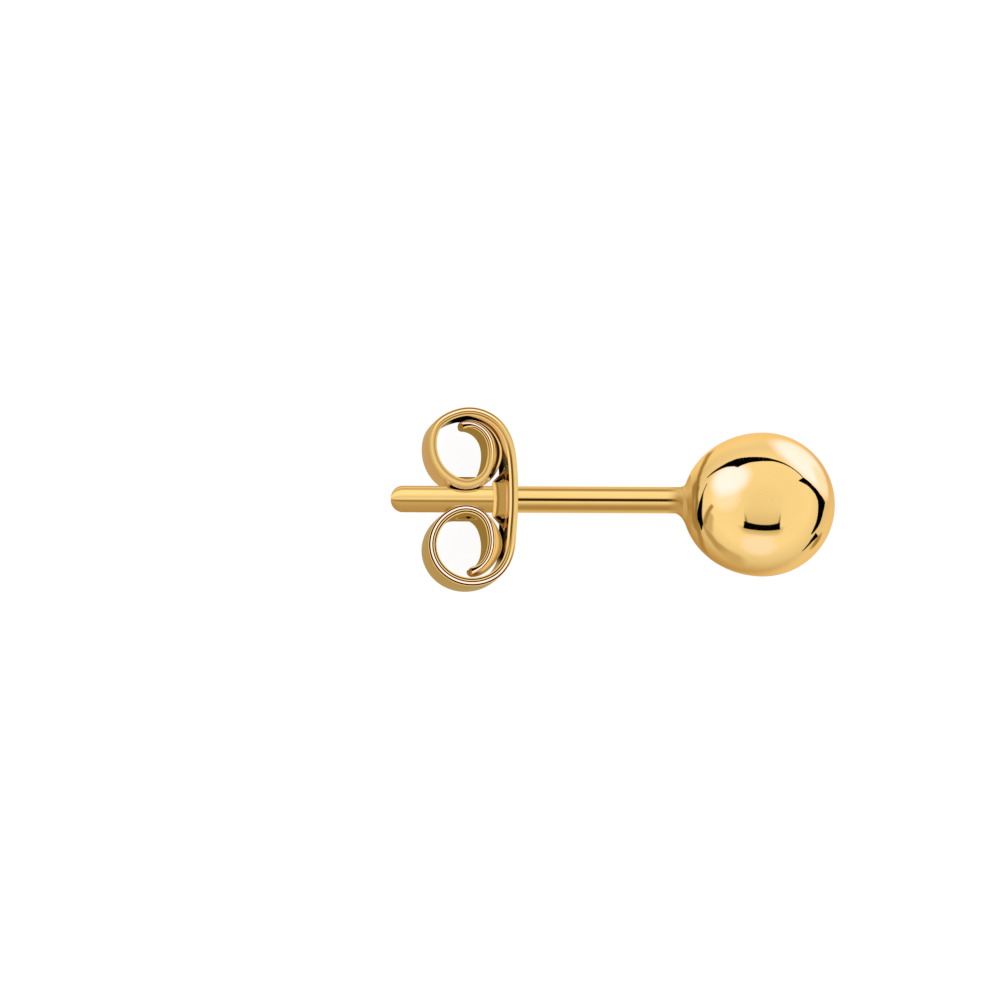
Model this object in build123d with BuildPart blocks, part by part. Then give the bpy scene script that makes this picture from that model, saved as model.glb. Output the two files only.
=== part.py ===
from build123d import *
import os
from collections import namedtuple
from math import asin, cos, radians, sin, sqrt

# A ball stud earring with its butterfly clutch, lying on its side as it rests on a table.
#
# Millimetres. +X runs along the post from its tip to the ball, +Z is up, and the origin is on
# the table under the middle of the earring's length and of its clutch. The clutch's two scrolls
# curl about axes parallel to Z.

# Ball and post
ball_radius = 2.5
ball_back = 2.80  # the back half is drawn out to this length, towards the post
ball_offset = 0.135  # the ball's centre lies this far to the -Y side of the post's axis
post_radius = 0.46
tip_to_ball = 12.91  # from the post's tip to the ball's centre
tip_round = 0.42
flare_round = 0.42  # the concave blend from the ball's back into the post

# Clutch, seen along the scrolls' axes
face_to_ball = 8.67  # from the plate's outer face to the ball's centre, where the clutch sits
plate_thickness = 0.30
plate_bow = 18.0  # radius of the plate's gentle bow, bulging towards the ball
scroll_depth = 1.63  # from the plate's outer face to the scrolls' centres
scroll_rise = 1.693  # from the post's axis to the scrolls' centres
scroll_radius = 1.383  # of the strip's outer face where a scroll grips the post
edge_bulge = 0.13  # how far the strip's rounded edges stand out
flat_camber = 0.01  # where the strip is all but flat across its width
full_turn = 360  # beyond this angle an arm is its tongue
lower_tongue = 0.8  # the turn of the -Y arm's tongue, as a share of the +Y arm's

# The dimpled hole in the plate, and the troughs where the scrolls grip the post
running_gap = 0.02
dimple_height = 0.42  # beyond the plate's inner face
dimple_rim = 0.60
dimple_root = 1.16  # at the middle of the plate's thickness
funnel_mouth = 0.82
trough_wall = 0.28
trough_reach = (-0.75, 0.62)  # along X from the scroll's centre
trough_margin = 0.10  # how deep the trough's ends lie inside the strip

overall = tip_to_ball + ball_radius
tip_x = -overall / 2
ball_x = tip_x + tip_to_ball
ball_centre = (ball_x, -ball_offset)
axis_z = ball_radius
face_x = ball_x - face_to_ball
inner_face_x = face_x - plate_thickness
middle_x = face_x - plate_thickness / 2
scroll_x = face_x - scroll_depth
bore_radius = post_radius + running_gap
rim_x = inner_face_x - dimple_height

# The plate, from its middle outwards: height along Y, and the strip's half width there
PlateRow = namedtuple("PlateRow", "height half_width")
plate_rows = [
    PlateRow(0.0, 2.50),
    PlateRow(0.65, 2.46),
    PlateRow(1.3, 2.28),
]

# The arms, from the plate to the tongues: the angle turned about the scroll's centre, the outer
# radius of the +Y arm and of the -Y arm at the strip's edges, the strip's half width, how far its
# middle stands out beyond its edges, and its thickness
ArmRow = namedtuple("ArmRow", "turn upper_radius lower_radius half_width camber thickness")
arm_rows = [
    ArmRow(10, 1.490, 1.545, 2.02, flat_camber, 0.30),
    ArmRow(45, 1.415, 1.510, 1.88, flat_camber, 0.30),
    ArmRow(90, 1.383, 1.415, 1.85, flat_camber, 0.29),
    ArmRow(115, 1.400, 1.400, 1.85, flat_camber, 0.29),
    ArmRow(145, 1.480, 1.410, 1.85, flat_camber, 0.29),
    ArmRow(180, 1.420, 1.430, 1.85, flat_camber, 0.29),
    ArmRow(225, 1.392, 1.420, 1.85, flat_camber, 0.29),
    ArmRow(270, scroll_radius, scroll_radius, 1.83, flat_camber, 0.28),
    ArmRow(300, 1.215, 1.215, 1.80, 0.14, 0.26),
    ArmRow(330, 0.975, 0.975, 1.75, 0.31, 0.25),
    ArmRow(360, 0.865, 0.865, 1.68, 0.37, 0.24),
    ArmRow(390, 0.858, 0.858, 1.58, 0.27, 0.23),
    ArmRow(420, 0.890, 0.890, 1.45, 0.19, 0.22),
    ArmRow(450, 0.930, 0.930, 1.25, 0.11, 0.22),
    ArmRow(468, 0.940, 0.940, 1.00, 0.06, 0.22),
]


def strip_plane(x, y, normal_angle, side):
    """The plane across the strip at a point of its outer face: its own x axis points out of the
    scroll, and its y axis along Z. side is 1 for the +Y arm and -1 for the -Y arm."""
    out = Vector(cos(normal_angle), side * sin(normal_angle), 0)
    across = Vector(0, 0, 1)
    return Plane(origin=(x, side * y, axis_z), x_dir=out, z_dir=out.cross(across))


def strip_section(plane, half_width, camber, thickness):
    """The strip's cross-section: a slightly cambered bar with rounded edges."""
    shoulder = half_width - edge_bulge
    middle = -thickness / 2
    with BuildSketch(plane) as section:
        with BuildLine():
            ThreePointArc((0, -shoulder), (camber, 0), (0, shoulder))
            ThreePointArc((0, shoulder), (middle, half_width), (-thickness, shoulder))
            ThreePointArc((-thickness, shoulder), (camber - thickness, 0), (-thickness, -shoulder))
            ThreePointArc((-thickness, -shoulder), (middle, -half_width), (0, -shoulder))
        make_face()
    return section.sketch


def half_strip(side):
    """The sections of one half of the strip, from the plate's middle to the tongue's tip."""
    sections = []
    for row in plate_rows:
        drop = plate_bow - sqrt(plate_bow**2 - row.height**2)
        plane = strip_plane(face_x - drop, row.height, asin(row.height / plate_bow), side)
        sections.append(strip_section(plane, row.half_width, flat_camber, plate_thickness))
    for row in arm_rows:
        radius = row.upper_radius if side > 0 else row.lower_radius
        shortening = 0 if side > 0 else 1 - lower_tongue
        turn = radians(row.turn - shortening * max(row.turn - full_turn, 0))
        x = scroll_x + radius * cos(turn)
        y = scroll_rise + radius * sin(turn)
        plane = strip_plane(x, y, turn, side)
        sections.append(strip_section(plane, row.half_width, row.camber, row.thickness))
    return sections


# Ball and post, one piece of metal
with BuildPart() as ball_and_post:
    with BuildSketch(Plane.XY.offset(axis_z)):
        with BuildLine():
            CenterArc(ball_centre, ball_radius, start_angle=0, arc_size=90)
            EllipticalCenterArc(ball_centre, ball_back, ball_radius, start_angle=90, arc_size=90)
            Line((ball_x - ball_back, -ball_offset), (ball_x + ball_radius, -ball_offset))
        make_face()
    revolve(axis=Axis((*ball_centre, axis_z), (1, 0, 0)))
    with BuildSketch(Plane.YZ.offset(tip_x)):
        with Locations((0, axis_z)):
            Circle(post_radius)
    extrude(amount=tip_to_ball)
    fillet(ball_and_post.edges().sort_by(Axis.X)[0], tip_round)
    back_x = ball_x - ball_back
    neck = ball_and_post.edges().filter_by_position(
        Axis.X, back_x - flare_round, back_x + flare_round
    )
    fillet(neck, flare_round)
ball_and_post.part.label = "ball_and_post"

# The troughs of both scrolls, kept inside the strip at their ends
with BuildPart() as troughs:
    with BuildSketch(Plane.YZ.offset(scroll_x + trough_reach[0])):
        with Locations((0, axis_z)):
            Circle(bore_radius + trough_wall)
    extrude(amount=trough_reach[1] - trough_reach[0])
    with BuildSketch(Plane.XY):
        with Locations((scroll_x, scroll_rise), (scroll_x, -scroll_rise)):
            Circle(scroll_radius - trough_margin)
    extrude(amount=2 * axis_z, mode=Mode.INTERSECT)

# The clutch: one strip from tongue to tongue, its dimple and troughs, and the hole for the post
with BuildPart() as butterfly_clutch:
    loft(list(reversed(half_strip(-1)))[:-1] + half_strip(1))
    add(troughs.part)
    with BuildSketch(Plane.XY.offset(axis_z)):
        with BuildLine():
            Polyline(
                (rim_x, 0),
                (rim_x, dimple_rim),
                (middle_x, dimple_root),
                (middle_x, 0),
                close=True,
            )
        make_face()
    revolve(axis=Axis((0, 0, axis_z), (1, 0, 0)))
    with BuildSketch(Plane.XY.offset(axis_z)):
        with BuildLine():
            Polyline(
                (face_x, 0),
                (face_x, funnel_mouth),
                (inner_face_x, bore_radius),
                (inner_face_x, 0),
                close=True,
            )
        make_face()
    revolve(axis=Axis((0, 0, axis_z), (1, 0, 0)), mode=Mode.SUBTRACT)
    with BuildSketch(Plane.YZ.offset(scroll_x)):
        with Locations((0, axis_z)):
            Circle(bore_radius)
    extrude(amount=2 * scroll_depth, both=True, mode=Mode.SUBTRACT)
butterfly_clutch.part.label = "butterfly_clutch"

os.makedirs("parts", exist_ok=True)
export_step(ball_and_post.part, "parts/ball_and_post.step")
export_step(butterfly_clutch.part, "parts/butterfly_clutch.step")
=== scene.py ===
from collections import namedtuple
from math import asin, atan2, cos, pi, radians, sin, sqrt

import bmesh
import bpy
import numpy as np
from mathutils import Matrix, Vector


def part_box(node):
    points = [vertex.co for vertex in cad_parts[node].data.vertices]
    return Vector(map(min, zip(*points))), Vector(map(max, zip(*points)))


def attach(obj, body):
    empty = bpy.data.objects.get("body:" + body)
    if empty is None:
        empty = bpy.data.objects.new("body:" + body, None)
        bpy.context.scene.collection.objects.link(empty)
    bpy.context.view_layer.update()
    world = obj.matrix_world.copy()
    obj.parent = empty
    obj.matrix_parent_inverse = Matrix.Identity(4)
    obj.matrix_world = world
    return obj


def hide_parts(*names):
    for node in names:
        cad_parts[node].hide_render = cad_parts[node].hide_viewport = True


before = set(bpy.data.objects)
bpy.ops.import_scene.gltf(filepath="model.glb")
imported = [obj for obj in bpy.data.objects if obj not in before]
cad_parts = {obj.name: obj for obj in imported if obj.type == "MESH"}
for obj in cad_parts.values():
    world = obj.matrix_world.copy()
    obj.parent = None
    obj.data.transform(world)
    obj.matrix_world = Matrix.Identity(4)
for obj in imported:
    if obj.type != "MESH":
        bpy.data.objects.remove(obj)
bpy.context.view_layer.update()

MM = 0.001

# The frame's places, in millimetres
stud_low, stud_high = (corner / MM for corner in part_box("ball_and_post"))
clutch_low, clutch_high = (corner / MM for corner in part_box("butterfly_clutch"))
ball_radius = (stud_high.z - stud_low.z) / 2
axis_z = (stud_high.z + stud_low.z) / 2
ball_y = (stud_high.y + stud_low.y) / 2
ball_x = stud_high.x - ball_radius
ball_centre = Vector((ball_x, ball_y, axis_z))
tip_x = stud_low.x
post_radius = 0.46

# The camera stands nearly overhead, leaning a little towards the tip and -Y
toward_camera = Vector((-0.0734, -0.063, 1)).normalized()
camera_aim = Vector((-3.92, -0.02, axis_z))
camera_distance = 0.6  # metres
view_width = 0.0346  # metres, at the aim
sensor_width = 36  # millimetres

# Ball and post
ball_back = 2.80
flare_round = 0.42
tip_round = 0.42

# Clutch
flat_camber = 0.01
face_x = clutch_high.x - flat_camber
scroll_depth = 1.63
scroll_rise = 1.693
scroll_radius = 1.383
plate_thickness = 0.30
plate_bow = 18.0
edge_bulge = 0.13
full_turn = 360
lower_tongue = 0.8
scroll_x = face_x - scroll_depth

PlateRow = namedtuple("PlateRow", "height half_width")
plate_rows = [
    PlateRow(0.0, 2.50),
    PlateRow(0.65, 2.46),
    PlateRow(1.3, 2.28),
]
ArmRow = namedtuple("ArmRow", "turn upper_radius lower_radius half_width camber thickness")
arm_rows = [
    ArmRow(10, 1.490, 1.545, 2.02, flat_camber, 0.30),
    ArmRow(45, 1.415, 1.510, 1.88, flat_camber, 0.30),
    ArmRow(90, 1.383, 1.415, 1.85, flat_camber, 0.29),
    ArmRow(115, 1.400, 1.400, 1.85, flat_camber, 0.29),
    ArmRow(145, 1.480, 1.410, 1.85, flat_camber, 0.29),
    ArmRow(180, 1.420, 1.430, 1.85, flat_camber, 0.29),
    ArmRow(225, 1.392, 1.420, 1.85, flat_camber, 0.29),
    ArmRow(270, scroll_radius, scroll_radius, 1.83, flat_camber, 0.28),
    ArmRow(300, 1.215, 1.215, 1.80, 0.14, 0.26),
    ArmRow(330, 0.975, 0.975, 1.75, 0.31, 0.25),
    ArmRow(360, 0.865, 0.865, 1.68, 0.37, 0.24),
    ArmRow(390, 0.858, 0.858, 1.58, 0.27, 0.23),
    ArmRow(420, 0.890, 0.890, 1.45, 0.19, 0.22),
    ArmRow(450, 0.930, 0.930, 1.25, 0.11, 0.22),
    ArmRow(468, 0.940, 0.940, 1.00, 0.06, 0.22),
]


# Meshes ---------------------------------------------------------------------------------------


def add_piece(name, vertices, faces, body, node, material):
    """A smooth-shaded mesh, given in millimetres, that stands for a CAD node."""
    mesh = bpy.data.meshes.new(name)
    mesh.from_pydata((np.asarray(vertices) * MM).tolist(), [], faces)
    facing_out = bmesh.new()
    facing_out.from_mesh(mesh)
    bmesh.ops.recalc_face_normals(facing_out, faces=facing_out.faces)
    facing_out.to_mesh(mesh)
    facing_out.free()
    mesh.polygons.foreach_set("use_smooth", [True] * len(mesh.polygons))
    mesh.materials.append(material)
    mesh.validate()
    piece = bpy.data.objects.new(name, mesh)
    bpy.context.scene.collection.objects.link(piece)
    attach(piece, body)
    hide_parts(node)
    return piece


def ring_faces(first, second):
    """The quads between two closed rings of vertex numbers."""
    return [(first[i - 1], first[i], second[i], second[i - 1]) for i in range(len(first))]


def fan_faces(ring, centre):
    """The triangles that close a ring with one vertex."""
    return [(ring[i - 1], ring[i], centre) for i in range(len(ring))]


def rounded_path(corners, steps=8):
    """Points along straight runs joined by smooth bends. A corner is a place and how far from it
    its bend starts and ends."""
    points = [np.array(corners[0][:2])]
    for before, corner, after in zip(corners, corners[1:], corners[2:]):
        here = np.array(corner[:2])
        back = np.array(before[:2]) - here
        on = np.array(after[:2]) - here
        start = here + back / np.linalg.norm(back) * corner[2]
        end = here + on / np.linalg.norm(on) * corner[2]
        for t in np.linspace(0, 1, steps):
            points.append(start * (1 - t) ** 2 + 2 * here * t * (1 - t) + end * t**2)
    points.append(np.array(corners[-1][:2]))
    return np.array(points)


def spline_through(knots, values, at):
    """A natural cubic spline through rows of values, and its slope, at the places asked for."""
    knots = np.asarray(knots, float)
    values = np.asarray(values, float)
    count = len(knots)
    gap = np.diff(knots)
    system = np.eye(count)
    target = np.zeros_like(values)
    for i in range(1, count - 1):
        system[i, i - 1 : i + 2] = gap[i - 1], 2 * (gap[i - 1] + gap[i]), gap[i]
        rise_on = (values[i + 1] - values[i]) / gap[i]
        rise_back = (values[i] - values[i - 1]) / gap[i - 1]
        target[i] = 6 * (rise_on - rise_back)
    bend = np.linalg.solve(system, target)
    i = np.clip(np.searchsorted(knots, at) - 1, 0, count - 2)
    h = gap[i][:, None]
    a = (knots[i + 1] - at)[:, None]
    b = (at - knots[i])[:, None]
    line_a = values[i] / h - bend[i] * h / 6
    line_b = values[i + 1] / h - bend[i + 1] * h / 6
    place = (bend[i] * a**3 + bend[i + 1] * b**3) / (6 * h) + line_a * a + line_b * b
    slope = (bend[i + 1] * b**2 - bend[i] * a**2) / (2 * h) - line_a + line_b
    return place, slope


def smooth_max(a, b, blend):
    """The larger of two arrays, rounded off where they cross."""
    near = np.maximum(blend - np.abs(a - b), 0) / blend
    return np.maximum(a, b) + near**2 * blend / 4


# The ball and its post ------------------------------------------------------------------------

# How many rings each stretch has, and how many vertices a ring has
ball_rings = 110
flare_rings = 24
post_rings = 60
tip_rings = 14
ring_cells = 144


def stud_profile():
    """Rings from the ball's front to the post's tip: x, radius, and the ring's centre along Y."""
    # The flare is an arc that touches both the ball's back and the post. Its centre lies where
    # the back, moved outwards by the arc's radius, meets the post's wall, moved as far
    turn = np.linspace(radians(90), radians(180), 4000)
    on_x = ball_back * np.cos(turn)
    on_r = ball_radius * np.sin(turn)
    out_x = np.cos(turn) / ball_back
    out_r = np.sin(turn) / ball_radius
    length = np.hypot(out_x, out_r)
    off_r = on_r + flare_round * out_r / length
    centre_r = post_radius + flare_round
    meet = np.argmin(np.abs(off_r - centre_r) + (turn < radians(120)))
    centre_x = on_x[meet] + flare_round * out_x[meet] / length[meet]

    rows = []
    for angle in np.linspace(0, turn[meet], ball_rings)[1:]:
        reach = ball_radius if angle < radians(90) else ball_back
        rows.append((ball_x + reach * cos(angle), ball_radius * sin(angle), ball_y))
    start = atan2(on_r[meet] - centre_r, on_x[meet] - centre_x)
    for part in np.linspace(0, 1, flare_rings)[1:]:
        angle = start + (-pi / 2 - start) * part
        ease = part * part * (3 - 2 * part)
        x = ball_x + centre_x + flare_round * cos(angle)
        rows.append((x, centre_r + flare_round * sin(angle), ball_y * (1 - ease)))
    post_start = rows[-1][0]
    shoulder = tip_x + tip_round
    for part in np.linspace(0, 1, post_rings)[1:]:
        rows.append((post_start + (shoulder - post_start) * part, post_radius, 0.0))
    for angle in np.radians(np.linspace(0, 90, tip_rings))[1:]:
        radius = post_radius - tip_round * (1 - cos(angle))
        rows.append((shoulder - tip_round * sin(angle), radius, 0.0))
    return rows


def add_stud(material):
    angles = np.linspace(0, 2 * pi, ring_cells, endpoint=False)
    vertices = [(ball_x + ball_radius, ball_y, axis_z)]
    rings = []
    for x, radius, centre_y in stud_profile():
        rings.append(list(range(len(vertices), len(vertices) + ring_cells)))
        for angle in angles:
            vertices.append((x, centre_y + radius * cos(angle), axis_z + radius * sin(angle)))
    vertices.append((tip_x, 0, axis_z))
    faces = fan_faces(rings[0], 0) + fan_faces(rings[-1], len(vertices) - 1)
    for first, second in zip(rings, rings[1:]):
        faces += ring_faces(first, second)
    return add_piece("ball_and_post_polished", vertices, faces, "stud", "ball_and_post", material)


# The clutch -----------------------------------------------------------------------------------


def half_strip(side):
    """The strip's rows from the plate's middle to a tongue's tip: x, y, half width, camber,
    thickness, along its outer face. side is 1 for the +Y arm and -1 for the -Y arm."""
    rows = []
    for row in plate_rows:
        drop = plate_bow - sqrt(plate_bow**2 - row.height**2)
        place = (face_x - drop, side * row.height)
        rows.append((*place, row.half_width, flat_camber, plate_thickness))
    for row in arm_rows:
        radius = row.upper_radius if side > 0 else row.lower_radius
        shortening = 0 if side > 0 else 1 - lower_tongue
        turn = radians(row.turn - shortening * max(row.turn - full_turn, 0))
        place = (scroll_x + radius * cos(turn), side * (scroll_rise + radius * sin(turn)))
        rows.append((*place, row.half_width, row.camber, row.thickness))
    return np.array(rows)


row_step = 0.07  # along the strip
face_cells = 72  # across each face of the strip
edge_cells = 10  # round each edge
loop_cells = 2 * (face_cells + edge_cells)
inner_start = face_cells + edge_cells  # where a cross-section's inner face starts
tip_corner = 0.55  # the tongue's corners, in plan
tip_zone = 0.5  # where the rows crowd towards a tongue's tip
tip_shares = np.array([0.0, 0.02, 0.06, 0.12, 0.2, 0.3, 0.42, 0.56, 0.7, 0.85])
tip_thinnest = 0.02  # the tip's thickness at its very end, as a share of the strip's
patch_reach = 1.33  # half the side of the square round the post's hole
patch_shares = (0.33, 0.66)  # rings between the hole's outermost ring and the square
hole_ring = 1.22
dimple_height = 0.42
dimple_rim = 0.60
bore_radius = 0.48
trough_outer = 0.49
trough_inner = 0.77
trough_blend = 0.12

# The hole's profile, from the plate's outer face to its inner face: a funnel, the bore, and the
# dimple that stands proud inside
Corner = namedtuple("Corner", "radius depth bend")
hole_corners = [
    Corner(hole_ring, 0, 0),
    Corner(0.90, 0, 0.22),
    Corner(bore_radius, 0.34, 0.16),
    Corner(bore_radius, plate_thickness + dimple_height, 0.05),
    Corner(dimple_rim, plate_thickness + dimple_height, 0.05),
    Corner(1.02, plate_thickness, 0.14),
    Corner(hole_ring, plate_thickness, 0),
]

Patch = namedtuple("Patch", "low_row high_row low_column high_column")


def inner_column(column):
    """The place in a cross-section, on its inner face, across from one on its outer face."""
    return inner_start + face_cells - column


def clutch_grid():
    """The strip's cross-sections, from tongue tip to tongue tip, as an array of points. Each
    goes up the outer face, round the +Z edge, down the inner face and round the -Z edge.
    Also the number of the row at the plate's middle."""
    lower, upper = half_strip(-1), half_strip(1)
    rows = np.vstack([lower[:0:-1], upper])
    steps = np.hypot(np.diff(rows[:, 0]), np.diff(rows[:, 1]))
    knots = np.concatenate([[0], np.cumsum(steps)])
    length = knots[-1]
    middle = knots[len(lower) - 1]
    ends = tip_zone * tip_shares
    below = np.linspace(tip_zone, middle, int((middle - tip_zone) / row_step), endpoint=False)
    above = np.linspace(middle, length - tip_zone, int((length - middle) / row_step))
    at = np.concatenate([ends, below, above, (length - ends)[::-1]])
    place, slope = spline_through(knots, rows, at)
    tangent = slope[:, :2] / np.linalg.norm(slope[:, :2], axis=1)[:, None]
    normal = np.stack([tangent[:, 1], -tangent[:, 0]], axis=1)

    to_end = np.minimum(at, length - at)
    corner = np.clip(1 - to_end / tip_corner, 0, 1)
    width = place[:, 2] - tip_corner * (1 - np.sqrt(1 - corner**2))
    tip = np.clip(1 - to_end / (plate_thickness / 2), 0, 1)
    thin = np.sqrt(np.clip(1 - tip**2, tip_thinnest**2, 1))
    half_thick = place[:, 4] / 2

    share = np.linspace(-1, 1, face_cells + 1)
    bend = np.linspace(0, pi, edge_cells + 1)[1:-1]
    grid = []
    for i in range(len(at)):
        shoulder = width[i] - edge_bulge
        bulge = edge_bulge * thin[i]
        centre = place[i, 3] * (1 - share**2) - half_thick[i]
        up = np.stack([centre + half_thick[i] * thin[i], shoulder * share], axis=1)
        down = np.stack([centre - half_thick[i] * thin[i], shoulder * share], axis=1)[::-1]
        edge_off = -half_thick[i] + half_thick[i] * thin[i] * np.cos(bend)
        top = np.stack([edge_off, shoulder + bulge * np.sin(bend)], axis=1)
        low = np.stack([edge_off[::-1], -shoulder - bulge * np.sin(bend)], axis=1)
        loop = np.vstack([up, top, down, low])
        x = place[i, 0] + normal[i, 0] * loop[:, 0]
        y = place[i, 1] + normal[i, 1] * loop[:, 0]
        grid.append(np.stack([x, y, axis_z + loop[:, 1]], axis=1))
    return np.array(grid), len(ends) + len(below)


def with_troughs(grid):
    """The strip with its arms pushed away from the post, so that they grip it in two troughs."""
    lift = grid[:, :, 2] - axis_z
    outer = np.full(loop_cells, trough_inner)
    outer[: face_cells + 1] = trough_outer
    wall = np.sqrt(np.maximum(outer[None, :] ** 2 - lift**2, 0))
    side = np.sign(grid[:, :, 1])
    reach = smooth_max(np.abs(grid[:, :, 1]), wall, trough_blend)
    arms = grid[:, :, 0] < face_x - 2 * plate_thickness
    pressed = grid.copy()
    pressed[:, :, 1] = np.where(arms, side * reach, grid[:, :, 1])
    return pressed


def hole_patch(grid, middle):
    """The rows and columns of the strip that the square round the hole takes up."""
    half_face = grid[middle, face_cells, 2] - axis_z
    rows = int(patch_reach / row_step)
    columns = int(patch_reach / (2 * half_face) * face_cells)
    centre = face_cells // 2
    return Patch(middle - rows, middle + rows, centre - columns, centre + columns)


def strip_faces(row_count, patch):
    """The quads round the strip, without the square round the hole on its two faces."""
    faces = []
    for row in range(row_count - 1):
        for j in range(loop_cells):
            on_outer = j < face_cells
            on_inner = inner_start <= j < inner_start + face_cells
            column = j if on_outer else inner_column(j + 1)
            in_rows = patch.low_row <= row < patch.high_row
            in_columns = patch.low_column <= column < patch.high_column
            if (on_outer or on_inner) and in_rows and in_columns:
                continue
            here, beyond = row * loop_cells, (row + 1) * loop_cells
            k = (j + 1) % loop_cells
            faces.append((here + j, beyond + j, beyond + k, here + k))
    return faces


def tip_faces(row):
    """The faces that close the strip at a tongue's tip."""
    ring = [row * loop_cells + j for j in range(loop_cells)]
    outer = ring[: face_cells + 1]
    inner = ring[inner_start : inner_start + face_cells + 1][::-1]
    faces = [(outer[j], outer[j + 1], inner[j + 1], inner[j]) for j in range(face_cells)]
    faces.append(tuple(ring[face_cells : inner_start + 1]))
    faces.append(tuple(ring[inner_start + face_cells :] + ring[:1]))
    return faces


def plate_surface(grid, patch):
    """A function for the plate's x at a place (y, z) and a depth below its outer face."""
    rows = slice(patch.low_row - 2, patch.high_row + 3)
    centre = face_cells // 2
    outer = grid[rows, centre]
    inner = grid[rows, inner_column(centre)]
    half_faces = grid[rows, face_cells, 2] - axis_z

    def plate_x(y, z, depth):
        sag = flat_camber * ((z - axis_z) / np.interp(y, outer[:, 1], half_faces)) ** 2
        outer_x = np.interp(y, outer[:, 1], outer[:, 0])
        inner_x = np.interp(y, inner[:, 1], inner[:, 0])
        return float(outer_x + (inner_x - outer_x) * depth / plate_thickness - sag)

    return plate_x


def add_hole(vertices, grid, patch):
    """The plate round the post's hole, in rings from the square on its outer face to the one on
    its inner face. Their vertices are added to the strip's, and their quads are returned."""
    square = [(patch.low_row, c) for c in range(patch.low_column, patch.high_column)]
    square += [(r, patch.high_column) for r in range(patch.low_row, patch.high_row)]
    square += [(patch.high_row, c) for c in range(patch.high_column, patch.low_column, -1)]
    square += [(r, patch.low_column) for r in range(patch.high_row, patch.low_row, -1)]
    outer_square = [row * loop_cells + column for row, column in square]
    inner_square = [row * loop_cells + inner_column(column) for row, column in square]
    angles = [atan2(vertices[i][2] - axis_z, vertices[i][1]) for i in outer_square]
    plate_x = plate_surface(grid, patch)
    rings = [outer_square]

    def add_ring(places, depth):
        rings.append(list(range(len(vertices), len(vertices) + len(places))))
        vertices.extend((plate_x(y, z, depth), y, z) for y, z in places)

    def round_ring(radius):
        return [(radius * cos(a), axis_z + radius * sin(a)) for a in angles]

    def ring_towards(corners, share):
        """A ring part of the way from the hole's outermost ring to a square."""
        far = np.array([vertices[i][1:] for i in corners])
        return (np.array(round_ring(hole_ring)) * (1 - share) + far * share).tolist()

    for share in patch_shares[::-1]:
        add_ring(ring_towards(outer_square, share), 0)
    for radius, depth in rounded_path(hole_corners):
        add_ring(round_ring(radius), depth)
    for share in patch_shares:
        add_ring(ring_towards(inner_square, share), plate_thickness)
    rings.append(inner_square)
    return [face for pair in zip(rings, rings[1:]) for face in ring_faces(*pair)]


def add_clutch(grid, middle, material):
    pressed = with_troughs(grid)
    patch = hole_patch(pressed, middle)
    vertices = pressed.reshape(-1, 3).tolist()
    faces = strip_faces(len(pressed), patch) + tip_faces(0) + tip_faces(len(pressed) - 1)
    faces += add_hole(vertices, pressed, patch)
    return add_piece(
        "butterfly_clutch_polished", vertices, faces, "clutch", "butterfly_clutch", material
    )


# Finish ---------------------------------------------------------------------------------------


def polished_gold(name, roughness, ripple, seed):
    """Polished gold with fine polishing marks, a little cloudiness and a surface that ripples
    gently, by so many metres."""
    material = bpy.data.materials.new(name)
    material.use_nodes = True
    nodes = material.node_tree.nodes
    links = material.node_tree.links
    shader = nodes["Principled BSDF"]
    shader.inputs["Metallic"].default_value = 1.0
    shader.inputs["Specular Tint"].default_value = (1.0, 0.8, 0.5, 1.0)
    place = nodes.new("ShaderNodeTexCoord")

    def noise(scale, detail, stretch=(1, 1, 1)):
        mapping = nodes.new("ShaderNodeMapping")
        mapping.inputs["Scale"].default_value = stretch
        mapping.inputs["Location"].default_value = (seed, seed / 3, seed / 7)
        links.new(place.outputs["Object"], mapping.inputs["Vector"])
        texture = nodes.new("ShaderNodeTexNoise")
        texture.inputs["Scale"].default_value = scale
        texture.inputs["Detail"].default_value = detail
        links.new(mapping.outputs["Vector"], texture.inputs["Vector"])
        return texture.outputs["Fac"]

    def ramp(source, low, high):
        spread = nodes.new("ShaderNodeMapRange")
        spread.inputs["From Min"].default_value = 0.3
        spread.inputs["From Max"].default_value = 0.7
        spread.inputs["To Min"].default_value = low
        spread.inputs["To Max"].default_value = high
        links.new(source, spread.inputs["Value"])
        return spread.outputs["Result"]

    def bump(source, height, before=None):
        node = nodes.new("ShaderNodeBump")
        node.inputs["Strength"].default_value = 1.0
        node.inputs["Distance"].default_value = height
        links.new(source, node.inputs["Height"])
        if before:
            links.new(before, node.inputs["Normal"])
        return node.outputs["Normal"]

    cloud = noise(900, 3)
    tint = nodes.new("ShaderNodeMix")
    tint.data_type = "RGBA"
    tint.inputs["A"].default_value = (1.0, 0.765, 0.34, 1)
    tint.inputs["B"].default_value = (0.98, 0.74, 0.315, 1)
    links.new(ramp(cloud, 0.0, 1.0), tint.inputs["Factor"])
    # Gold seen mirrored in gold is painted a paler colour for the reflection, so that two bounces
    # don't turn it brown
    mirrored = nodes.new("ShaderNodeMix")
    mirrored.data_type = "RGBA"
    mirrored.inputs["B"].default_value = (0.86, 0.82, 0.75, 1)
    rays = nodes.new("ShaderNodeLightPath")
    links.new(rays.outputs["Is Glossy Ray"], mirrored.inputs["Factor"])
    links.new(tint.outputs["Result"], mirrored.inputs["A"])
    links.new(mirrored.outputs["Result"], shader.inputs["Base Color"])
    links.new(ramp(noise(2600, 5), roughness * 0.7, roughness * 1.3), shader.inputs["Roughness"])
    polishing_marks = bump(noise(9000, 2, (0.12, 1, 1)), 1.2e-8)
    links.new(bump(noise(420, 1), ripple, polishing_marks), shader.inputs["Normal"])
    return material


# The set --------------------------------------------------------------------------------------

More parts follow.
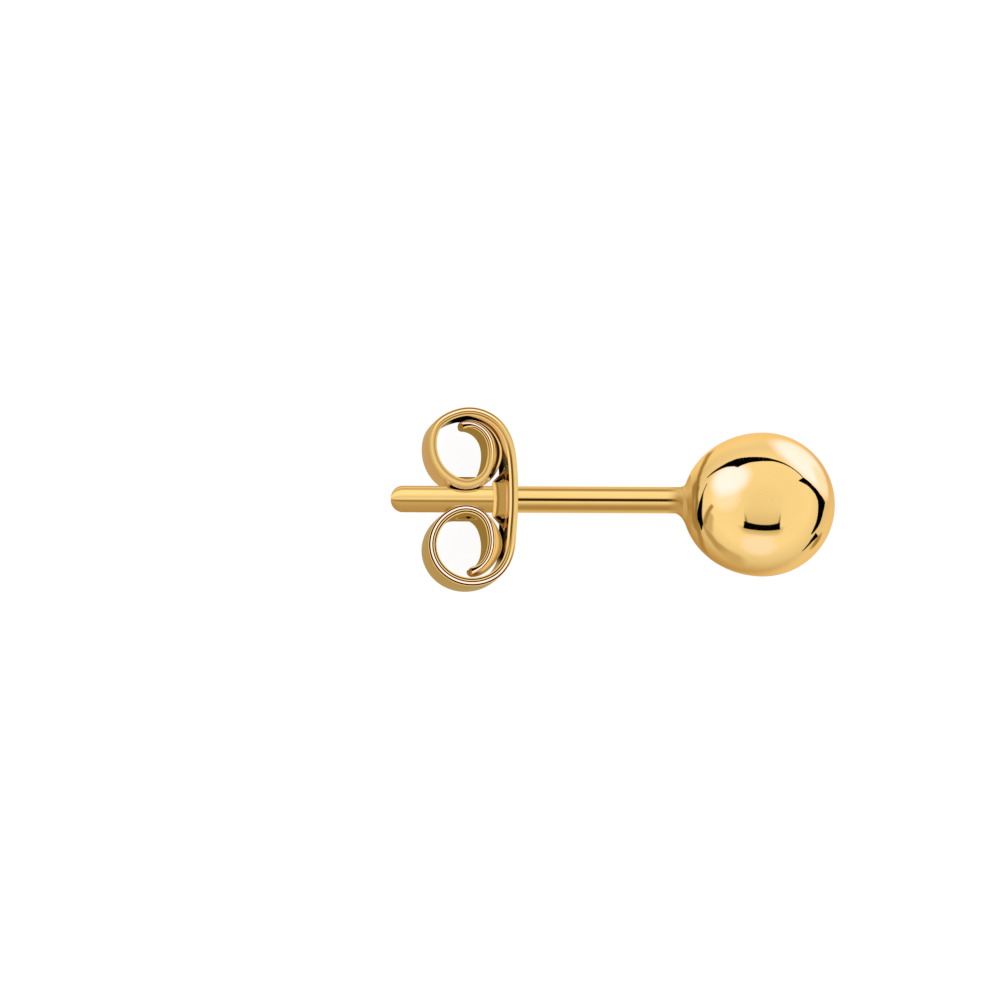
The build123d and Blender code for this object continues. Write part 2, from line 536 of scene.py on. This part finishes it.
# How the gold sees the soft, warm tent round it: its brightness from straight down to straight up
Tent = namedtuple("Tent", "height brightness")
tent_rows = [
    Tent(-1.0, 0.50),
    Tent(-0.7, 0.62),
    Tent(-0.35, 0.8),
    Tent(0.0, 0.92),
    Tent(0.25, 1.0),
    Tent(0.85, 0.96),
    Tent(1.0, 0.9),
]
# Soft glows on it: where, how wide the core and the whole glow are, how bright and how blue
Glow = namedtuple("Glow", "azimuth elevation core reach brightness blue")
glows = [
    Glow(-25, -55, 10, 40, 0.88, 1.05),
    Glow(98, -52, 14, 46, 0.96, 1.05),
    Glow(-94, 17, 6, 26, 1.08, 1.45),
    Glow(170, 36, 6, 26, 1.15, 1.4),
    Glow(139, 27, 13, 32, 1.4, 2.2),
    Glow(46, -19, 20, 38, 1.4, 2.2),
    Glow(22, -27, 6, 18, 1.2, 1.6),
    Glow(-30, -37, 2, 9, 0.38, 1.0),
]


def lit(brightness, blue=1.0):
    """The warm white of the tent at a brightness, deeper in tone where it is dim, and how much
    bluer than that it is."""
    pale = np.clip((brightness - 0.3) / 0.5, 0, 1)
    return brightness * np.array([1, 0.65 + 0.24 * pale, (0.24 + 0.51 * pale) * blue])


def toward(azimuth, elevation):
    """The unit vector at an azimuth from +X towards +Y and an elevation, in degrees."""
    a, e = radians(azimuth), radians(elevation)
    return Vector((cos(a) * cos(e), sin(a) * cos(e), sin(e)))


def smoothstep(value, low, high):
    """0 up to low, 1 from high on, and smooth in between."""
    part = np.clip((value - low) / (high - low), 0, 1)
    return part * part * (3 - 2 * part)


def tent_colour(direction):
    """The tent's colour in one direction, as the world's nodes give it too."""
    heights = [row.height for row in tent_rows]
    colour = lit(np.interp(direction.z, heights, [row.brightness for row in tent_rows]))
    for glow in glows:
        aim = direction.dot(toward(glow.azimuth, glow.elevation))
        share = smoothstep(aim, cos(radians(glow.reach)), cos(radians(glow.core)))
        colour = colour * (1 - share) + lit(glow.brightness, glow.blue) * share
    return colour


def only_reflected(thing):
    """Seen in the gold alone: it neither shows nor lights nor shades anything else."""
    thing.visible_camera = False
    thing.visible_diffuse = False
    thing.visible_shadow = False
    thing.visible_transmission = False
    thing.visible_volume_scatter = False


def plain_object(name, vertices, faces, material):
    mesh = bpy.data.meshes.new(name)
    mesh.from_pydata(vertices, [], faces)
    mesh.materials.append(material)
    thing = bpy.data.objects.new(name, mesh)
    bpy.context.scene.collection.objects.link(thing)
    return thing


def black_finish():
    material = bpy.data.materials.new("black_card")
    material.use_nodes = True
    nodes = material.node_tree.nodes
    nodes.clear()
    glow = nodes.new("ShaderNodeEmission")
    glow.inputs["Strength"].default_value = 0
    out = nodes.new("ShaderNodeOutputMaterial")
    material.node_tree.links.new(glow.outputs["Emission"], out.inputs["Surface"])
    return material


def painted_finish():
    """Glows in its painted colours on its front, as far as the paint's alpha says, and is clear
    from behind."""
    material = bpy.data.materials.new("painted_light")
    material.use_nodes = True
    nodes = material.node_tree.nodes
    links = material.node_tree.links
    nodes.clear()
    paint = nodes.new("ShaderNodeVertexColor")
    paint.layer_name = "paint"
    glow = nodes.new("ShaderNodeEmission")
    clear = nodes.new("ShaderNodeBsdfTransparent")
    side = nodes.new("ShaderNodeNewGeometry")
    shown = nodes.new("ShaderNodeMath")
    shown.operation = "SUBTRACT"
    shown.use_clamp = True
    pick = nodes.new("ShaderNodeMixShader")
    out = nodes.new("ShaderNodeOutputMaterial")
    links.new(paint.outputs["Color"], glow.inputs["Color"])
    links.new(paint.outputs["Alpha"], shown.inputs[0])
    links.new(side.outputs["Backfacing"], shown.inputs[1])
    links.new(shown.outputs["Value"], pick.inputs[0])
    links.new(clear.outputs["BSDF"], pick.inputs[1])
    links.new(glow.outputs["Emission"], pick.inputs[2])
    links.new(pick.outputs["Shader"], out.inputs["Surface"])
    return material


black_card = black_finish()
painted_card = painted_finish()


def add_painted(name, places, colours, faces_to, fade=0):
    """A card from a grid of places, in millimetres, painted from a grid of colours. Its first
    face shows its front one way, and it fades out over so many cells along its border."""
    row_count, column_count = len(places), len(places[0])
    vertices = [Vector(place) * MM for row in places for place in row]
    faces = []
    for row in range(row_count - 1):
        for column in range(column_count - 1):
            a = row * column_count + column
            faces.append((a, a + 1, a + 1 + column_count, a + column_count))
    one, two, three = (vertices[i] for i in faces[0][:3])
    if (two - one).cross(three - two).dot(Vector(faces_to)) < 0:
        faces = [face[::-1] for face in faces]
    card = plain_object(name, vertices, faces, painted_card)
    rows, columns = np.indices((row_count, column_count))
    inset = np.minimum(rows, row_count - 1 - rows)
    inset = np.minimum(inset, np.minimum(columns, column_count - 1 - columns))
    shown = smoothstep(inset, 0, fade) if fade else np.ones(inset.shape)
    layer = card.data.color_attributes.new("paint", "FLOAT_COLOR", "POINT")
    painted = np.dstack([np.array(colours), shown]).astype(np.float32)
    layer.data.foreach_set("color", painted.ravel())
    only_reflected(card)


# Black ribbons, hung far off round the object: how low and how high each reaches, by azimuth
Row = namedtuple("Row", "azimuth low high")
ribbon_distance = 0.5  # metres
ribbon_blur = 0.4  # degrees, on the ball's card
ribbons = [
    [
        Row(-47, -25.5, -23.5), Row(-40, -25.5, -21), Row(-34, -26, -18.5), Row(-26, -31, -19),
    ],
    [
        Row(-30, -12.5, -9.5), Row(-24, -16, -8.5), Row(-18, -18.5, -8), Row(-6, -20, -5.5),
        Row(4, -24, -4), Row(11, -11.5, 0.5), Row(22, 1.5, 11), Row(34, 11.5, 24.5),
    ],
    [
        Row(34.5, 11.5, 13.5), Row(52, 14.5, 16.5), Row(64, 15, 18), Row(77, 14.5, 19),
        Row(87, 12.5, 20), Row(96, 10, 20), Row(105, 6.5, 19), Row(114, 2, 19), Row(120, 0.5, 19),
        Row(122, -0.5, 14), Row(128, -2, 6.5), Row(134, -4.5, 1.5), Row(141, -8, -4),
        Row(149, -11.5, -10),
    ],
    [
        Row(154, -4.5, -3), Row(165, -6.5, -4.5), Row(173, -9.5, -4), Row(182, -15, -5),
        Row(189, -20, -7.5), Row(195, -23, -10), Row(202, -23.5, -13), Row(208, -26, -24),
    ],
]


def ribbon_share(azimuth, elevation, ribbon):
    """How far a ribbon covers a direction, from 0 to 1."""
    azimuths = [row.azimuth for row in ribbon]
    if not azimuths[0] < azimuth < azimuths[-1]:
        return 0.0
    low = np.interp(azimuth, azimuths, [row.low for row in ribbon])
    high = np.interp(azimuth, azimuths, [row.high for row in ribbon])
    above = smoothstep(elevation - low, -ribbon_blur, ribbon_blur)
    below = smoothstep(high - elevation, -ribbon_blur, ribbon_blur)
    return above * below


def add_ribbon(name, ribbon):
    vertices = []
    for row in ribbon:
        for elevation in (row.low, row.high):
            far = toward(row.azimuth, elevation) * ribbon_distance
            vertices.append(ball_centre * MM + far)
    faces = [(2 * i, 2 * i + 2, 2 * i + 3, 2 * i + 1) for i in range(len(ribbon) - 1)]
    only_reflected(plain_object(name, vertices, faces, black_card))


# Cards that hug the gold carry painted reflections, in place of what it mirrors close by. How far
# off it they hang
ball_hug = 0.2
wall_hug = 0.12
slope_hug = 0.05

# The ball's card paints the reflection on its back half: the tent, the ribbons and a few soft,
# darker strokes, all painted reflection, given by azimuth and elevation
Stroke = namedtuple("Stroke", "start end half_width blur brightness")
painted_strokes = [
    Stroke((206, -13), (216, -15), 1.5, 6, 0.5),
    Stroke((216, -15), (233, -20), 2.0, 8, 0.5),
    Stroke((233, -20), (245, -23), 2.5, 10, 0.5),
    Stroke((245, -23), (262, -36), 3.0, 14, 0.62),
    Stroke((160, -30), (200, -34), 4.0, 9, 0.38),
    Stroke((197, 5), (208, -6), 3.5, 6, 0.64),
    Stroke((184, 13), (201, -9), 0.9, 4, 0.4),
    Stroke((118, -62), (135, -42), 1.2, 5, 0.44),
    Stroke((135, -42), (146, -33), 1.2, 5, 0.38),
    Stroke((146, -33), (162, -21), 1.2, 4, 0.34),
    Stroke((162, -21), (177, -18), 1.5, 4, 0.3),
    Stroke((177, -18), (190, -23), 1.5, 4, 0.3),
    Stroke((190, -23), (203, -29), 1.5, 4, 0.34),
    Stroke((203, -29), (213, -40), 1.5, 5, 0.38),
    Stroke((213, -40), (228, -68), 1.5, 6, 0.42),
]


def stroke_share(azimuth, elevation, stroke):
    """How far a stroke covers a direction, from 0 to 1."""
    here = np.array([azimuth, elevation], float)
    start, run = np.array(stroke.start, float), np.subtract(stroke.end, stroke.start)
    along = np.clip(np.dot(here - start, run) / np.dot(run, run), 0, 1)
    away = np.linalg.norm(here - start - run * along)
    return smoothstep(-away, -stroke.half_width - stroke.blur, -stroke.half_width)


# The ball's painted reflection card, laid out where the camera sees each direction mirrored
def add_ball_card():
    places, colours = [], []
    for azimuth in np.arange(112.0, 262.5, 1.0):
        place_row, colour_row = [], []
        for elevation in np.arange(-70.0, 24.5, 0.75):
            direction = toward(azimuth, elevation)
            normal = (direction + toward_camera).normalized()
            reach = Vector((ball_back if normal.x < 0 else ball_radius, ball_radius, ball_radius))
            scaled = normal * reach
            point = ball_centre + scaled * reach / scaled.length
            colour = tent_colour(direction)
            for stroke in painted_strokes:
                share = stroke_share(azimuth, elevation, stroke)
                colour = colour * (1 - share) + lit(stroke.brightness) * share
            for ribbon in ribbons:
                colour = colour * (1 - ribbon_share(azimuth, elevation, ribbon))
            place_row.append(point + direction * ball_hug)
            colour_row.append(colour)
        places.append(place_row)
        colours.append(colour_row)
    add_painted("ball_painted_reflection", places, colours, -toward(112, -70), fade=10)


# The post and the clutch's edges have fine bands of painted reflection on theirs, painted
# highlights and dark lines. A band is given by where the camera sees it across the post or the
# edge, from -1 to 1
Band = namedtuple("Band", "across brightness")
long_bands = [
    Band(0.99, 0.85), Band(0.92, 0.82), Band(0.85, 0.75), Band(0.79, 0.5), Band(0.735, 0.36),
    Band(0.69, 0.5), Band(0.62, 0.88), Band(0.55, 1.1), Band(0.4, 1.02), Band(0.2, 1.0),
    Band(0.12, 0.8), Band(0.06, 0.03), Band(-0.08, 0.03), Band(-0.14, 0.85), Band(-0.2, 0.95),
    Band(-0.28, 0.76), Band(-0.35, 0.66), Band(-0.43, 0.5), Band(-0.5, 0.44), Band(-0.65, 0.4),
    Band(-0.73, 0.46), Band(-0.8, 0.6), Band(-0.95, 0.78), Band(-0.99, 0.9),
]
short_bands = [
    Band(0.99, 0.6), Band(0.91, 0.7), Band(0.84, 0.95), Band(0.76, 0.42), Band(0.68, 0.95),
    Band(0.6, 1.12), Band(0.38, 1.12), Band(0.22, 0.86), Band(0.14, 0.84), Band(0.06, 0.95),
    Band(-0.02, 0.9), Band(-0.09, 0.38), Band(-0.14, 0.34), Band(-0.22, 0.5), Band(-0.3, 0.6),
    Band(-0.4, 0.55), Band(-0.6, 0.5), Band(-0.99, 0.47),
]
flare_bands = [
    Band(0.99, 0.6), Band(0.8, 0.7), Band(0.5, 0.7), Band(0.2, 0.5), Band(-0.1, 0.42),
    Band(-0.5, 0.52), Band(-0.8, 0.52), Band(-0.99, 0.45),
]
lined_bands = [
    Band(0.985, 1.1), Band(0.90, 1.0), Band(0.86, 0.0), Band(0.56, 0.0), Band(0.52, 1.4),
    Band(0.45, 1.7), Band(0.22, 1.7), Band(0.15, 1.3), Band(0.11, 0.0), Band(-0.15, 0.0),
    Band(-0.19, 1.0), Band(-0.40, 1.1), Band(-0.44, 0.0), Band(-0.70, 0.0), Band(-0.74, 0.9),
    Band(-0.985, 0.9),
]
plain_bands = [
    Band(0.985, 0.7), Band(0.8, 0.62), Band(0.5, 0.8), Band(0.3, 0.9), Band(0.0, 0.8),
    Band(-0.25, 0.6), Band(-0.45, 0.42), Band(-0.6, 0.75), Band(-0.985, 0.9),
]
plate_bands = [
    Band(0.985, 0.75), Band(0.8, 0.85), Band(0.3, 0.9), Band(0.0, 0.75), Band(-0.12, 0.15),
    Band(-0.45, 0.15), Band(-0.58, 1.15), Band(-0.985, 1.1),
]
# Painted reflection on the slopes of the tongues' bulges, given by the place across them, from 1
# at the near edge down to 0 at mid width
lower_slope = [
    Band(1.0, 0.9), Band(0.88, 1.05), Band(0.74, 0.7), Band(0.6, 0.44), Band(0.42, 0.44),
    Band(0.3, 0.62), Band(0.24, 0.0),
]
upper_slope = [
    Band(1.0, 0.62), Band(0.9, 0.42), Band(0.84, 0.02), Band(0.66, 0.02), Band(0.6, 0.9),
    Band(0.5, 1.0), Band(0.36, 0.65), Band(0.27, 0.1),
]


# The rows left out at each tongue's tip, where the strip's edge closes
spared_rows = 2


def banded(bands, across):
    """The bands' brightness at a place across them."""
    turned = bands[::-1]
    return np.interp(across, [b.across for b in turned], [b.brightness for b in turned])


def hugging_place(point, normal, hug):
    """Where a card just off a surface is met by what the camera sees mirrored there."""
    mirrored = 2 * normal.dot(toward_camera) * normal - toward_camera
    return point + mirrored * hug


# Painted reflection on the post and its flare, in bands of painted highlight and shade
def add_post_card():
    lean = atan2(toward_camera.y, toward_camera.z)
    across = np.linspace(0.985, -0.985, 120)
    rows = [row for row in stud_profile() if row[0] < ball_x - ball_radius]
    flare_x = next(x for x, radius, y in rows if radius < post_radius + 0.001)
    places, colours = [], []
    for before, row, after in zip(rows, rows[1:], rows[2:]):
        run = Vector((after[0] - before[0], after[1] - before[1])).normalized()
        x, radius, y = row
        flared = smoothstep(x, flare_x - 0.35, flare_x + 0.15)
        bands = long_bands if x > face_x - plate_thickness else short_bands
        place_row, colour_row = [], []
        for share in across:
            turn = asin(share) + lean
            normal = Vector((run[1], -run[0] * sin(turn), -run[0] * cos(turn)))
            point = Vector((x, y + radius * sin(turn), axis_z + radius * cos(turn)))
            tone = banded(bands, share) * (1 - flared) + banded(flare_bands, share) * flared
            place_row.append(hugging_place(point, normal, wall_hug))
            colour_row.append(lit(tone))
        places.append(place_row)
        colours.append(colour_row)
    first_turn = asin(across[0]) + lean
    add_painted("post_painted_reflection", places, colours, (0, -sin(first_turn), -cos(first_turn)))


def add_edge_card(grid, middle):
    """Painted reflection along the strip's near edge: painted highlights and dark lines,
    strongest round the -Y scroll and on the tongues.
    """
    row_count = len(grid) - 2 * spared_rows
    across = np.linspace(0.98, -0.98, 60)
    places, colours = [], []
    for row in range(spared_rows, len(grid) - spared_rows):
        outer, inner = Vector(grid[row, face_cells]), Vector(grid[row, inner_start])
        centre, half = (outer + inner) / 2, (outer - inner) / 2
        # From -1 at the -Y tongue's tip, through 0 at the plate's middle, to 1 at the other tip
        reach = (row - middle) / (middle if row < middle else row_count - middle)
        tongue = smoothstep(abs(reach), 0.80, 0.92)
        lower_scroll = smoothstep(-reach, 0.12, 0.26)
        upper_crown = 0.6 * smoothstep(reach, 0.2, 0.28) * smoothstep(-reach, -0.5, -0.4)
        lined = max(tongue, lower_scroll, upper_crown)
        flat = smoothstep(-abs(reach), -0.2, -0.1)
        place_row, colour_row = [], []
        for share in across:
            rise = sqrt(1 - share**2)
            point = centre + half * share + Vector((0, 0, edge_bulge * rise))
            normal = half * (share / half.length_squared) + Vector((0, 0, rise / edge_bulge))
            plain = banded(plain_bands, share) * (1 - flat) + banded(plate_bands, share) * flat
            tone = banded(lined_bands, share) * lined + plain * (1 - lined)
            place_row.append(hugging_place(point, normal.normalized(), wall_hug))
            colour_row.append(lit(min(tone, 1.4), 1 + 2.2 * max(tone - 1, 0)))
        places.append(place_row)
        colours.append(colour_row)
    facing = Vector(grid[spared_rows, inner_start]) - Vector(grid[spared_rows, face_cells])
    add_painted("edge_painted_reflection", places, colours, facing)


def add_slope_card(name, grid, middle, side, bands):
    """Painted reflection on the tongue's outer face, from near its edge to mid width."""
    count = len(grid)
    reach = np.abs(np.arange(count) - middle) / (middle if side < 0 else count - middle)
    arm = range(spared_rows, middle) if side < 0 else range(middle + 1, count - spared_rows)
    run = np.gradient(grid, axis=0)
    rise = np.gradient(grid[:, : face_cells + 1], axis=1)
    places, colours, normals = [], [], []
    for row in [row for row in arm if 0.77 < reach[row] < 0.97]:
        place_row, colour_row = [], []
        for column in range(int(0.58 * face_cells), face_cells):
            point = grid[row, column]
            normal = Vector(np.cross(run[row, column], rise[row, column])).normalized()
            if normal.dot(Vector(point - grid[row, inner_column(column)])) < 0:
                normal = -normal
            share = 2 * column / face_cells - 1
            place_row.append(hugging_place(Vector(point), normal, slope_hug))
            colour_row.append(lit(banded(bands, share)))
            normals.append(normal)
        places.append(place_row)
        colours.append(colour_row)
    add_painted(name, places, colours, -normals[0], fade=4)


def floor_reflection_and_shade(x, y):
    """The painted reflection that the clutch's walls mirror low down: warm, with painted shade
    that dims it inside the scrolls and turns it black where the strip runs close to itself."""
    across = abs(y) - scroll_rise
    outside = np.array([0.57, 0.43, 0.24] if y > 0 else [0.47, 0.385, 0.19])
    inside = np.array([0.32, 0.25, 0.13])
    hole = smoothstep(-np.hypot(x - scroll_x, across), -1.3, -1.1)
    colour = outside * (1 - hole) + inside * hole
    # Painted black shade beside the dimple, and under the +Y scroll's crown
    gap = smoothstep(x, scroll_x + 0.95, scroll_x + 1.1) * smoothstep(-x, -face_x, 0.05 - face_x)
    gap *= smoothstep(abs(y), 0.5, 0.65) * smoothstep(-abs(y), -2.1, -1.8)
    crown = smoothstep(-abs(x - scroll_x - 0.1), -0.6, -0.35) * smoothstep(y, 2.1, 2.35)
    crown *= smoothstep(-y, -2.9, -2.8)
    return colour * (1 - max(gap, crown))


def dimple_painted_reflection_colour(y, z):
    """Painted reflection round the dimple: a light band, a dark line, then even gold, outwards
    from the dimple's rim.
    """
    reach = np.hypot(y, z - axis_z)
    return lit(np.interp(reach, [0.68, 0.71, 0.75, 0.79], [0.95, 0.3, 0.3, 0.5]))


def add_clutch_floor():
    """A card of painted reflection that warms the clutch's walls, and of painted shade that
    darkens its gaps.
    """
    across = np.arange(-4.5, 4.51, 0.06)
    along = np.arange(clutch_low.x - 1.5, clutch_high.x + 0.3, 0.06)
    places = [[(x, y, 0.1) for y in across] for x in along]
    colours = [[floor_reflection_and_shade(x, y) for y in across] for x in along]
    add_painted("clutch_floor_painted_reflection_and_shade", places, colours, (0, 0, 1))


def add_dimple_card():
    """A card of painted reflection that evens out the dimple."""
    x = face_x - plate_thickness - dimple_height - 0.04
    across = np.arange(-1.2, 1.21, 0.04)
    tall = np.arange(0.3, 4.61, 0.04)
    places = [[(x, y, z) for y in across] for z in tall]
    colours = [[dimple_painted_reflection_colour(y, z) for y in across] for z in tall]
    add_painted("dimple_painted_reflection", places, colours, (1, 0, 0))


def table_finish():
    """Pale matt table that glows a little, so that shadows on it stay soft."""
    material = bpy.data.materials.new("pale_table")
    material.use_nodes = True
    nodes = material.node_tree.nodes
    links = material.node_tree.links
    shader = nodes["Principled BSDF"]
    shader.inputs["Roughness"].default_value = 0.8
    shader.inputs["Specular IOR Level"].default_value = 0.1
    grain = nodes.new("ShaderNodeTexNoise")
    grain.inputs["Scale"].default_value = 300
    place = nodes.new("ShaderNodeTexCoord")
    links.new(place.outputs["Object"], grain.inputs["Vector"])
    tone = nodes.new("ShaderNodeMix")
    tone.data_type = "RGBA"
    tone.inputs["A"].default_value = (0.11, 0.11, 0.11, 1)
    tone.inputs["B"].default_value = (0.13, 0.13, 0.13, 1)
    links.new(grain.outputs["Fac"], tone.inputs["Factor"])
    links.new(tone.outputs["Result"], shader.inputs["Base Color"])
    shader.inputs["Emission Color"].default_value = (1, 1, 1, 1)
    shader.inputs["Emission Strength"].default_value = 0.93
    return material


def add_table():
    """The pale table. The gold reflects the tent's lower half in its place."""
    reach = 3.0
    corners = [(-reach, -reach, 0), (reach, -reach, 0), (reach, reach, 0), (-reach, reach, 0)]
    plain_object("table", corners, [(0, 1, 2, 3)], table_finish()).visible_glossy = False


# The opening overhead that the lens looks through, the dark lines up its sides and the soft shade
# below it. They lie in a plane: across and along are places on it, as shares of its height above
# the object. Each side is soft, given as where it starts and where it is full
Opening = namedtuple("Opening", "left right far near brightness")
overhead = [
    Opening((-0.54, -0.48), (0.49, 0.43), (0.0, -0.75), (-0.90, -0.82), 0.74),
    Opening((-0.56, -0.52), (-0.45, -0.50), (-0.25, -0.70), (-0.90, -0.82), 0.22),
    Opening((0.40, 0.45), (0.51, 0.47), (-0.25, -0.70), (-0.90, -0.82), 0.22),
    Opening((-1.0, -0.6), (0.9, 0.5), (-0.90, -0.95), (-1.65, -1.05), 0.66),
]


def add_world():
    """White behind the object for the camera, and the warm tent for the gold to mirror."""
    world = bpy.data.worlds.new("light_tent")
    bpy.context.scene.world = world
    world.use_nodes = True
    nodes = world.node_tree.nodes
    links = world.node_tree.links
    nodes.clear()
    place = nodes.new("ShaderNodeTexCoord").outputs["Generated"]
    split = nodes.new("ShaderNodeSeparateXYZ")
    links.new(place, split.inputs["Vector"])

    def spread(source, low, high, smooth=True):
        node = nodes.new("ShaderNodeMapRange")
        node.interpolation_type = "SMOOTHSTEP" if smooth else "LINEAR"
        node.inputs["From Min"].default_value = low
        node.inputs["From Max"].default_value = high
        links.new(source, node.inputs["Value"])
        return node.outputs["Result"]

    def maths(operation, a, b):
        node = nodes.new("ShaderNodeMath")
        node.operation = operation
        for socket, value in zip(node.inputs, (a, b)):
            if isinstance(value, float):
                socket.default_value = value
            else:
                links.new(value, socket)
        return node.outputs["Value"]

    def both(share, *others):
        for other in others:
            share = maths("MULTIPLY", share, other)
        return share

    def laid_over(under, colour, share):
        node = nodes.new("ShaderNodeMix")
        node.data_type = "RGBA"
        links.new(share, node.inputs["Factor"])
        links.new(under, node.inputs["A"])
        node.inputs["B"].default_value = (*colour, 1)
        return node.outputs["Result"]

    shade = nodes.new("ShaderNodeValToRGB")
    ramp = shade.color_ramp
    while len(ramp.elements) < len(tent_rows):
        ramp.elements.new(0.5)
    for element, row in zip(ramp.elements, tent_rows):
        element.position = (row.height + 1) / 2
        element.color = (*lit(row.brightness), 1)
    links.new(spread(split.outputs["Z"], -1, 1, smooth=False), shade.inputs["Fac"])
    tent = shade.outputs["Color"]

    for glow in glows:
        aim = nodes.new("ShaderNodeVectorMath")
        aim.operation = "DOT_PRODUCT"
        links.new(place, aim.inputs[0])
        aim.inputs[1].default_value = toward(glow.azimuth, glow.elevation)
        share = spread(aim.outputs["Value"], cos(radians(glow.reach)), cos(radians(glow.core)))
        tent = laid_over(tent, lit(glow.brightness, glow.blue), share)

    above = maths("MAXIMUM", split.outputs["Z"], 0.05)
    across = maths("DIVIDE", split.outputs["X"], above)
    along = maths("DIVIDE", split.outputs["Y"], above)
    for part in overhead:
        sides = [(across, part.left), (across, part.right), (along, part.far), (along, part.near)]
        share = both(*[spread(source, *side) for source, side in sides])
        tent = laid_over(tent, lit(part.brightness), share)

    # The black bar along the opening's near side. Its ends splay outwards, and its far side is
    # bowed
    left_end = maths("ADD", across, maths("MULTIPLY", along, -0.28))
    right_end = maths("ADD", across, maths("MULTIPLY", along, 0.26))
    bow = maths("MULTIPLY", maths("MULTIPLY", across, across), -0.28)
    ends = both(spread(left_end, -0.41, -0.37), spread(right_end, 0.34, 0.30))
    near_side = spread(along, -1.07, -1.02)
    far_side = spread(maths("ADD", along, bow), -0.71, -0.76)
    tent = laid_over(tent, lit(0), both(ends, near_side, far_side))

    reflected = nodes.new("ShaderNodeBackground")
    links.new(tent, reflected.inputs["Color"])
    backdrop = nodes.new("ShaderNodeBackground")
    backdrop.inputs["Color"].default_value = (1, 1, 1, 1)
    backdrop.inputs["Strength"].default_value = 1.05
    rays = nodes.new("ShaderNodeLightPath")
    pick = nodes.new("ShaderNodeMixShader")
    links.new(rays.outputs["Is Glossy Ray"], pick.inputs[0])
    links.new(backdrop.outputs["Background"], pick.inputs[1])
    links.new(reflected.outputs["Background"], pick.inputs[2])
    out = nodes.new("ShaderNodeOutputWorld")
    links.new(pick.outputs["Shader"], out.inputs["Surface"])


def add_camera():
    data = bpy.data.cameras.new("camera")
    data.sensor_width = sensor_width
    data.lens = sensor_width * camera_distance / view_width
    data.clip_start = 0.01
    data.clip_end = 10
    camera = bpy.data.objects.new("camera", data)
    right = Vector((0, 1, 0)).cross(toward_camera).normalized()
    up = toward_camera.cross(right)
    turned = Matrix((right, up, toward_camera)).transposed().to_4x4()
    place = camera_aim * MM + toward_camera * camera_distance
    camera.matrix_world = Matrix.Translation(place) @ turned
    bpy.context.scene.collection.objects.link(camera)
    bpy.context.scene.camera = camera


strip_grid, plate_row = clutch_grid()
add_stud(polished_gold("polished_gold_ball", 0.04, 1.5e-6, 0.013))
add_clutch(strip_grid, plate_row, polished_gold("polished_gold_clutch", 0.05, 1.0e-6, 0.029))

for number, ribbon in enumerate(ribbons):
    add_ribbon(f"black_ribbon_{number}", ribbon)
# Cards of painted reflection and painted shade that hug the gold
add_ball_card()
add_post_card()
add_edge_card(strip_grid, plate_row)
add_slope_card("lower_slope_painted_reflection", strip_grid, plate_row, -1, lower_slope)
add_slope_card("upper_slope_painted_reflection", strip_grid, plate_row, 1, upper_slope)
add_clutch_floor()
add_dimple_card()
add_table()
add_world()
add_camera()
bpy.context.scene.view_settings.view_transform = "Standard"
